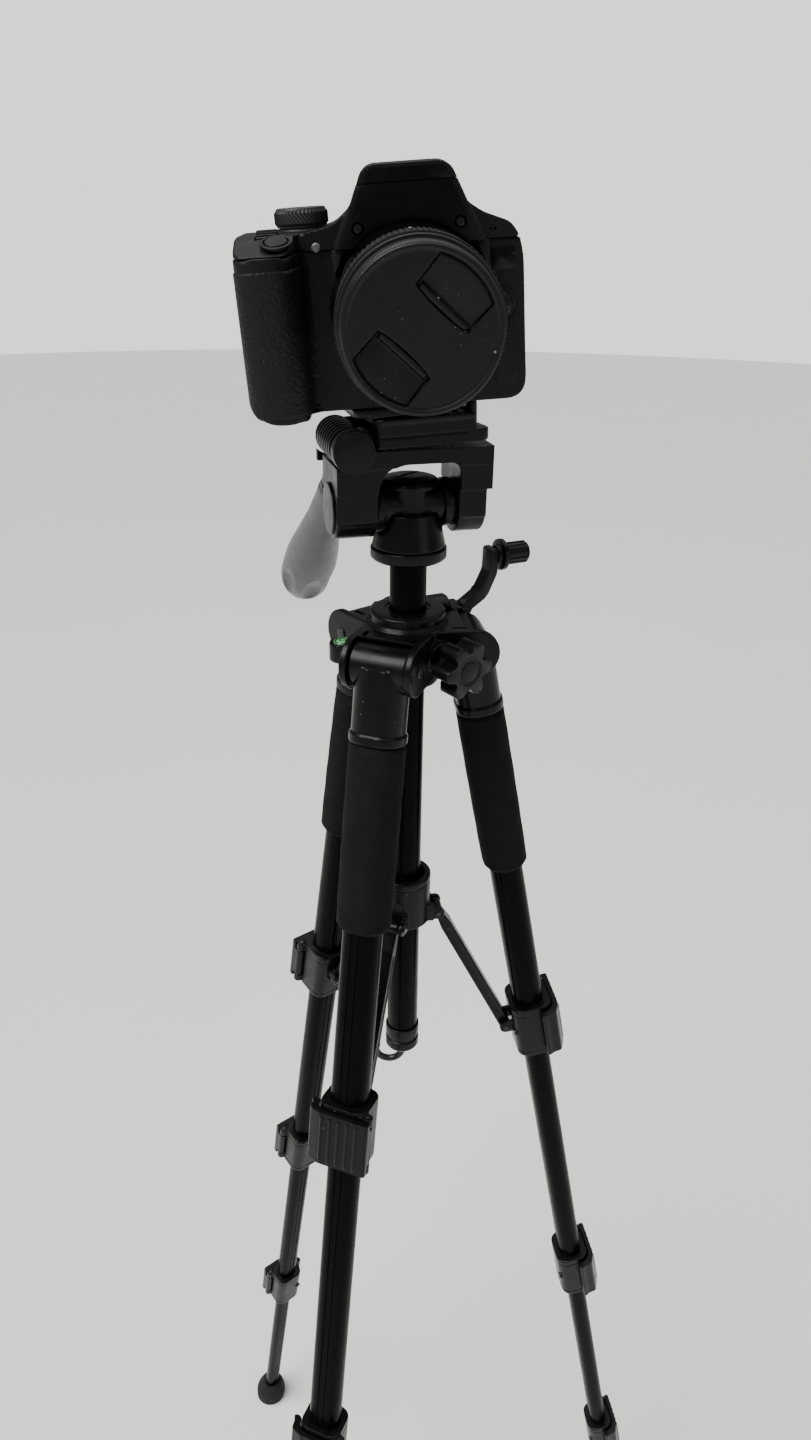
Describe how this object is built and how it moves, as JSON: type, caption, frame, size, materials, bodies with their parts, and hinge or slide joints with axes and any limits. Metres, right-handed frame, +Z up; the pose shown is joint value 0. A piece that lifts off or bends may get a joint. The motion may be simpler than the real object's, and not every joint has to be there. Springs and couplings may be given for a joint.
{
  "type": "camera on tripod",
  "caption": "Interchangeable-lens camera with capped zoom lens on a folding travel tripod with a three-way pan head, crank column, foam grips and flip-lock legs.",
  "frame": {"origin": "centre of the bounding box at floor level", "axes": "+Z up; -Y is the side the lens faces at rest; +X is to the right of someone looking at the lens"},
  "size_m": [0.3824, 0.4034, 1.1826],
  "materials": {
    "anodised_tube": "black anodised, satin",
    "black_steel": "black enamel",
    "bubble": "clear green capsule",
    "camera_gloss": "smooth satin black",
    "camera_shell": "fine-textured black polycarbonate",
    "foam": "matte closed-cell foam sleeve",
    "foot_rubber": "matte",
    "handle_grip": "semi-gloss warm grey with oval finger dents",
    "lens_shell": "fine matte black",
    "ring_rubber": "ribbed rubber",
    "tripod_plastic": "satin moulded ABS"
  },
  "bodies": {
    "stand": {"spider": "tripod_plastic", "bubble_level": "bubble"},
    "leg_front": {"leg_front_upper": "anodised_tube", "leg_front_grip": "foam"},
    "leg_front_lever_1": {"leg_front_lever_1": "tripod_plastic"},
    "leg_front_lever_2": {"leg_front_lever_2": "tripod_plastic"},
    "leg_front_lever_3": {"leg_front_lever_3": "tripod_plastic"},
    "leg_front_brace": {"leg_front_brace": "tripod_plastic"},
    "leg_front_section_2": {"leg_front_section_2": "anodised_tube"},
    "leg_front_section_3": {"leg_front_section_3": "anodised_tube"},
    "leg_front_section_4": {"leg_front_section_4": "anodised_tube", "leg_front_foot": "foot_rubber"},
    "leg_right": {"leg_right_upper": "anodised_tube", "leg_right_grip": "foam"},
    "leg_right_lever_1": {"leg_right_lever_1": "tripod_plastic"},
    "leg_right_lever_2": {"leg_right_lever_2": "tripod_plastic"},
    "leg_right_lever_3": {"leg_right_lever_3": "tripod_plastic"},
    "leg_right_brace": {"leg_right_brace": "tripod_plastic"},
    "leg_right_section_2": {"leg_right_section_2": "anodised_tube"},
    "leg_right_section_3": {"leg_right_section_3": "anodised_tube"},
    "leg_right_section_4": {"leg_right_section_4": "anodised_tube", "leg_right_foot": "foot_rubber"},
    "leg_rear": {"leg_rear_upper": "anodised_tube", "leg_rear_grip": "foam"},
    "leg_rear_lever_1": {"leg_rear_lever_1": "tripod_plastic"},
    "leg_rear_lever_2": {"leg_rear_lever_2": "tripod_plastic"},
    "leg_rear_lever_3": {"leg_rear_lever_3": "tripod_plastic"},
    "leg_rear_brace": {"leg_rear_brace": "tripod_plastic"},
    "leg_rear_section_2": {"leg_rear_section_2": "anodised_tube"},
    "leg_rear_section_3": {"leg_rear_section_3": "anodised_tube"},
    "leg_rear_section_4": {"leg_rear_section_4": "anodised_tube", "leg_rear_foot": "foot_rubber"},
    "brace_ring": {"brace_ring": "tripod_plastic"},
    "column": {"column": "anodised_tube", "column_end_cap": "tripod_plastic", "pan_base": "tripod_plastic"},
    "weight_hook": {"weight_hook": "black_steel"},
    "crank_arm": {"crank_arm": "tripod_plastic"},
    "crank_knob": {"crank_knob": "tripod_plastic"},
    "column_lock_knob": {"column_lock_knob": "tripod_plastic"},
    "pan_body": {"pan_body": "tripod_plastic"},
    "tilt_yoke": {"tilt_yoke": "tripod_plastic"},
    "pan_handle": {"pan_handle": "black_steel", "handle_grip": "handle_grip"},
    "platform": {"platform": "tripod_plastic"},
    "platform_knob": {"platform_knob": "tripod_plastic"},
    "plate_latch": {"plate_latch": "tripod_plastic"},
    "quick_release_plate": {"quick_release_plate": "tripod_plastic"},
    "camera": {"camera_front": "camera_shell", "camera_rear": "camera_shell", "camera_top": "camera_shell", "lens_barrel": "lens_shell"},
    "battery_door": {"battery_door": "camera_shell"},
    "flash_unit": {"flash_unit": "camera_gloss"},
    "mode_dial": {"mode_dial": "camera_shell"},
    "command_dial": {"command_dial": "camera_shell"},
    "shutter_button": {"shutter_button": "camera_gloss"},
    "zoom_ring": {"zoom_ring": "ring_rubber"},
    "focus_ring": {"focus_ring": "lens_shell"},
    "lens_cap": {"lens_cap": "camera_gloss"}
  },
  "joints": [
    {"name": "leg_front_spread", "type": "hinge", "parent": "stand", "child": "leg_front", "pos_m": [-0.05147, -0.0144, 0.95009], "axis": [-0.9333, 0.3592, 0], "range_deg": [-11.04, 0]},
    {"name": "leg_front_lever_1_flip", "type": "hinge", "parent": "leg_front", "child": "leg_front_lever_1", "pos_m": [-0.05958, -0.07946, 0.67875], "axis": [0.0688, 0.1787, 0.9815], "range_deg": [0, 100]},
    {"name": "leg_front_lever_2_flip", "type": "hinge", "parent": "leg_front_section_2", "child": "leg_front_lever_2", "pos_m": [-0.07687, -0.12078, 0.44143], "axis": [0.0688, 0.1787, 0.9815], "range_deg": [0, 100]},
    {"name": "leg_front_lever_3_flip", "type": "hinge", "parent": "leg_front_section_3", "child": "leg_front_lever_3", "pos_m": [-0.0941, -0.16079, 0.21049], "axis": [0.0688, 0.1787, 0.9815], "range_deg": [0, 100]},
    {"name": "leg_front_brace_swing", "type": "hinge", "parent": "leg_front", "child": "leg_front_brace", "pos_m": [-0.06386, -0.0466, 0.67663], "axis": [-0.9333, 0.3592, 0], "range_deg": [-17.83, 0]},
    {"name": "leg_front_extend_2", "type": "slide", "parent": "leg_front", "child": "leg_front_section_2", "axis": [-0.0688, -0.1787, -0.9815], "range_m": [-0.2009, 0.0235]},
    {"name": "leg_front_extend_3", "type": "slide", "parent": "leg_front_section_2", "child": "leg_front_section_3", "axis": [-0.0688, -0.1787, -0.9815], "range_m": [-0.1944, 0.015]},
    {"name": "leg_front_extend_4", "type": "slide", "parent": "leg_front_section_3", "child": "leg_front_section_4", "axis": [-0.0688, -0.1787, -0.9815], "range_m": [-0.1652, 0.035]},
    {"name": "leg_right_spread", "type": "hinge", "parent": "stand", "child": "leg_right", "pos_m": [-0.00607, 0.0223, 0.95009], "axis": [0.1556, -0.9878, 0], "range_deg": [-11.04, 0]},
    {"name": "leg_right_lever_1_flip", "type": "hinge", "parent": "leg_right", "child": "leg_right_lever_1", "pos_m": [0.05433, 0.0478, 0.67875], "axis": [-0.1892, -0.0298, 0.9815], "range_deg": [0, 100]},
    {"name": "leg_right_lever_2_flip", "type": "hinge", "parent": "leg_right_section_2", "child": "leg_right_lever_2", "pos_m": [0.10226, 0.05404, 0.42328], "axis": [-0.1892, -0.0298, 0.9815], "range_deg": [0, 100]},
    {"name": "leg_right_lever_3_flip", "type": "hinge", "parent": "leg_right_section_3", "child": "leg_right_lever_3", "pos_m": [0.14552, 0.05913, 0.19234], "axis": [-0.1892, -0.0298, 0.9815], "range_deg": [0, 100]},
    {"name": "leg_right_brace_swing", "type": "hinge", "parent": "leg_right", "child": "leg_right_brace", "pos_m": [0.02801, 0.02766, 0.67663], "axis": [0.1556, -0.9878, 0], "range_deg": [-17.83, 0]},
    {"name": "leg_right_extend_2", "type": "slide", "parent": "leg_right", "child": "leg_right_section_2", "axis": [0.1892, 0.0298, -0.9815], "range_m": [-0.2194, 0.005]},
    {"name": "leg_right_extend_3", "type": "slide", "parent": "leg_right_section_2", "child": "leg_right_section_3", "axis": [0.1892, 0.0298, -0.9815], "range_m": [-0.1944, 0.015]},
    {"name": "leg_right_extend_4", "type": "slide", "parent": "leg_right_section_3", "child": "leg_right_section_4", "axis": [0.1892, 0.0298, -0.9815], "range_m": [-0.1467, 0.0535]},
    {"name": "leg_rear_spread", "type": "hinge", "parent": "stand", "child": "leg_rear", "pos_m": [-0.06055, 0.04326, 0.95009], "axis": [0.7777, 0.6286, 0], "range_deg": [-11.04, 0]},
    {"name": "leg_rear_lever_1_flip", "type": "hinge", "parent": "leg_rear", "child": "leg_rear_lever_1", "pos_m": [-0.11284, 0.08282, 0.67875], "axis": [0.1204, -0.1489, 0.9815], "range_deg": [0, 100]},
    {"name": "leg_rear_lever_2_flip", "type": "hinge", "parent": "leg_rear_section_2", "child": "leg_rear_lever_2", "pos_m": [-0.13757, 0.11548, 0.46106], "axis": [0.1204, -0.1489, 0.9815], "range_deg": [0, 100]},
    {"name": "leg_rear_lever_3_flip", "type": "hinge", "parent": "leg_rear_section_3", "child": "leg_rear_lever_3", "pos_m": [-0.16301, 0.14966, 0.23503], "axis": [0.1204, -0.1489, 0.9815], "range_deg": [0, 100]},
    {"name": "leg_rear_brace_swing", "type": "hinge", "parent": "leg_rear", "child": "leg_rear_brace", "pos_m": [-0.08224, 0.0701, 0.67663], "axis": [0.7777, 0.6286, 0], "range_deg": [-17.83, 0]},
    {"name": "leg_rear_extend_2", "type": "slide", "parent": "leg_rear", "child": "leg_rear_section_2", "axis": [-0.1204, 0.1489, -0.9815], "range_m": [-0.1809, 0.0435]},
    {"name": "leg_rear_extend_3", "type": "slide", "parent": "leg_rear_section_2", "child": "leg_rear_section_3", "axis": [-0.1204, 0.1489, -0.9815], "range_m": [-0.1894, 0.02]},
    {"name": "leg_rear_extend_4", "type": "slide", "parent": "leg_rear_section_3", "child": "leg_rear_section_4", "axis": [-0.1204, 0.1489, -0.9815], "range_m": [-0.1902, 0.01]},
    {"name": "brace_ring_slide", "type": "slide", "parent": "stand", "child": "brace_ring", "axis": [0, 0, 1], "range_m": [0, 0.0097]},
    {"name": "column_slide", "type": "slide", "parent": "stand", "child": "column", "axis": [0, 0, 1], "range_m": [-0.021, 0.1]},
    {"name": "hook_swivel", "type": "hinge", "parent": "column", "child": "weight_hook", "pos_m": [-0.03936, 0.01705, 0.66609], "axis": [0, 0, 1], "continuous": true},
    {"name": "crank_turn", "type": "hinge", "parent": "stand", "child": "crank_arm", "pos_m": [-0.04579, 0.03083, 0.95909], "axis": [0.9063, 0.4226, 0], "continuous": true},
    {"name": "crank_knob_spin", "type": "hinge", "parent": "crank_arm", "child": "crank_knob", "pos_m": [-0.04579, 0.03083, 0.98809], "axis": [0.9063, 0.4226, 0], "continuous": true},
    {"name": "column_lock_turn", "type": "hinge", "parent": "stand", "child": "column_lock_knob", "pos_m": [-0.03936, 0.01705, 0.95109], "axis": [0.6293, -0.7771, 0], "range_deg": [-180, 180]},
    {"name": "pan_turn", "type": "hinge", "parent": "column", "child": "pan_body", "pos_m": [-0.03936, 0.01705, 0.95009], "axis": [0, 0, 1], "range_deg": [-70, 235]},
    {"name": "tilt", "type": "hinge", "parent": "pan_body", "child": "tilt_yoke", "pos_m": [-0.03936, 0.01705, 1.02709], "axis": [0.9613, 0.2756, 0], "range_deg": [-12, 75]},
    {"name": "handle_twist", "type": "hinge", "parent": "tilt_yoke", "child": "pan_handle", "pos_m": [-0.0768, 0.02608, 1.03709], "axis": [-0.2096, 0.7309, -0.6494], "range_deg": [-180, 180]},
    {"name": "platform_flip", "type": "hinge", "parent": "tilt_yoke", "child": "platform", "pos_m": [-0.07224, 0.00763, 1.05939], "axis": [0.2756, -0.9613, 0], "range_deg": [-2.5, 85]},
    {"name": "platform_knob_turn", "type": "hinge", "parent": "platform", "child": "platform_knob", "pos_m": [-0.07224, 0.00763, 1.05939], "axis": [0.2756, -0.9613, 0], "range_deg": [-180, 180]},
    {"name": "plate_latch_swing", "type": "hinge", "parent": "platform", "child": "plate_latch", "pos_m": [-0.0094, 0.01681, 1.06213], "axis": [0.0419, 0.012, -0.999], "range_deg": [0, 30]},
    {"name": "plate_lift", "type": "slide", "parent": "platform", "child": "quick_release_plate", "axis": [-0.0754, -0.0216, 0.9969], "range_m": [0, 0.02]},
    {"name": "camera_turn", "type": "hinge", "parent": "quick_release_plate", "child": "camera", "pos_m": [-0.03664, 0.01784, 1.08035], "axis": [-0.0754, -0.0216, 0.9969], "range_deg": [-15, 15]},
    {"name": "battery_door_swing", "type": "hinge", "parent": "camera", "child": "battery_door", "pos_m": [-0.08934, 0.00398, 1.07506], "axis": [0.0443, -0.9988, -0.0183], "range_deg": [0, 90]},
    {"name": "flash_raise", "type": "hinge", "parent": "camera", "child": "flash_unit", "pos_m": [-0.04413, 0.02419, 1.17461], "axis": [-0.9962, -0.0428, -0.0763], "range_deg": [0, 55]},
    {"name": "mode_dial_turn", "type": "hinge", "parent": "camera", "child": "mode_dial", "pos_m": [-0.08911, 0.00955, 1.15404], "axis": [-0.0754, -0.0216, 0.9969], "continuous": true},
    {"name": "command_dial_turn", "type": "hinge", "parent": "camera", "child": "command_dial", "pos_m": [-0.10197, -0.01138, 1.14499], "axis": [0.9962, 0.0428, 0.0763], "continuous": true},
    {"name": "shutter_press", "type": "slide", "parent": "camera", "child": "shutter_button", "axis": [0.0557, 0.3619, -0.9305], "range_m": [0, 0.0012], "stiffness_N_per_m": 400},
    {"name": "zoom_turn", "type": "hinge", "parent": "camera", "child": "zoom_ring", "pos_m": [-0.03848, -0.01466, 1.12264], "axis": [-0.0443, 0.9988, 0.0183], "range_deg": [0, 70]},
    {"name": "focus_turn", "type": "hinge", "parent": "camera", "child": "focus_ring", "pos_m": [-0.03848, -0.01466, 1.12264], "axis": [-0.0443, 0.9988, 0.0183], "range_deg": [-45, 45]},
    {"name": "lens_cap_pull", "type": "slide", "parent": "focus_ring", "child": "lens_cap", "axis": [0.0443, -0.9988, -0.0183], "range_m": [0, 0.03]}
  ],
  "couplings": [
    {"joint": "leg_front_brace_swing", "follows": "leg_front_spread", "ratio": 1.6143},
    {"joint": "leg_right_spread", "follows": "leg_front_spread", "ratio": 1},
    {"joint": "leg_right_brace_swing", "follows": "leg_front_spread", "ratio": 1.6143},
    {"joint": "leg_rear_spread", "follows": "leg_front_spread", "ratio": 1},
    {"joint": "leg_rear_brace_swing", "follows": "leg_front_spread", "ratio": 1.6143},
    {"joint": "brace_ring_slide", "follows": "leg_front_spread", "m_per_rad": -0.0494},
    {"joint": "crank_turn", "follows": "column_slide", "rad_per_m": -148.15}
  ]
}
